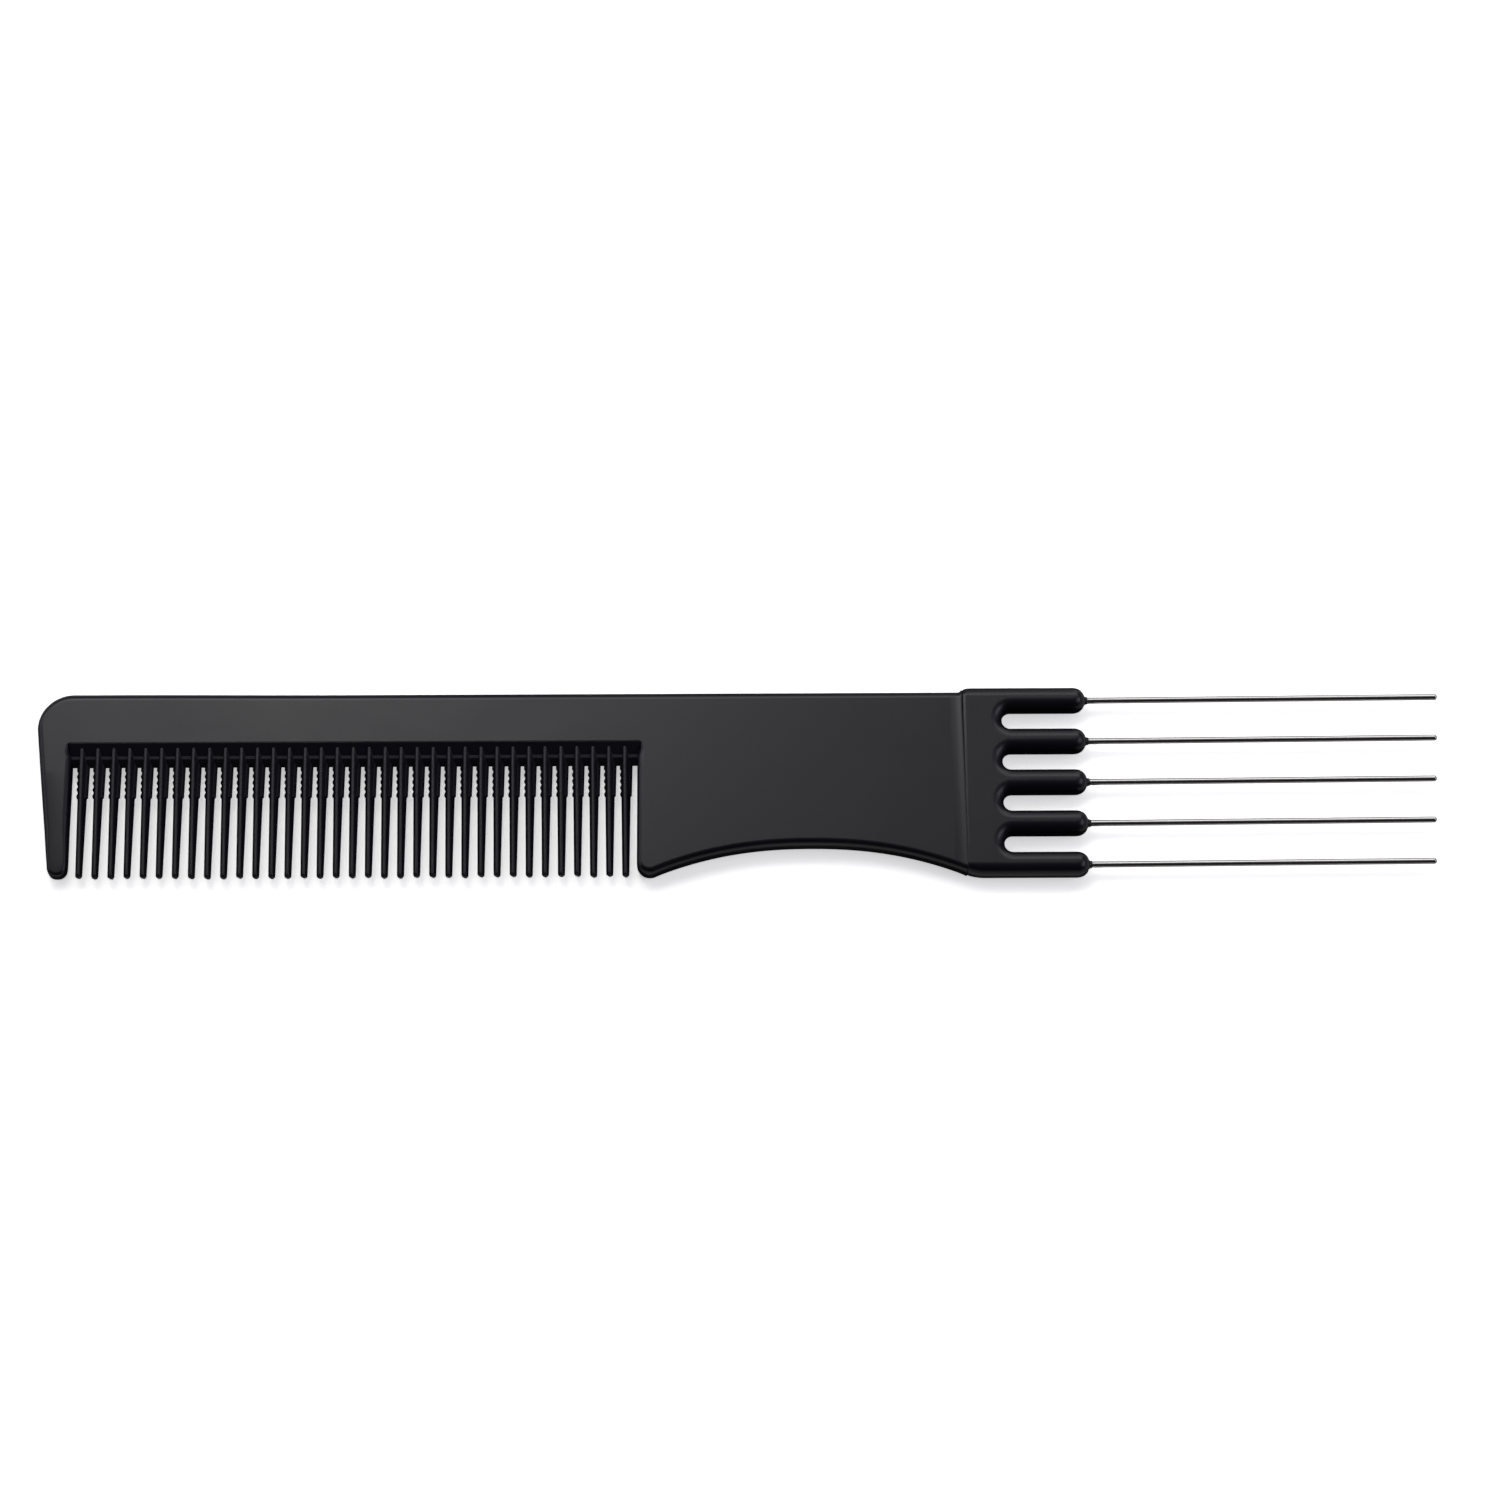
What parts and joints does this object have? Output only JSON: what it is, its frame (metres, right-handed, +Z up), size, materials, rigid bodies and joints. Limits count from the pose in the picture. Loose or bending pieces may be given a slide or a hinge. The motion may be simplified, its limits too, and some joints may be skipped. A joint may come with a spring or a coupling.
{
  "type": "teasing comb",
  "caption": "Flat black hair comb with a row of fine nicked teeth, a guard tooth, a hollowed grip and a fork of straight steel lifting prongs.",
  "frame": {"origin": "centre of the comb's bounding box in x and y, on the surface that it lies on", "axes": "+X along the comb towards the prong tips, +Y from the tooth tips towards the spine, +Z up out of the face that the picture shows"},
  "size_m": [0.1958, 0.0274, 0.0038],
  "materials": {
    "comb_plastic": "satin",
    "head_plastic": "satin",
    "prong_steel": "satin"
  },
  "bodies": {
    "root": {"comb_body": "comb_plastic", "fork_head": "head_plastic", "prong_1": "prong_steel", "prong_2": "prong_steel", "prong_3": "prong_steel", "prong_4": "prong_steel", "prong_5": "prong_steel"}
  },
  "joints": []
}
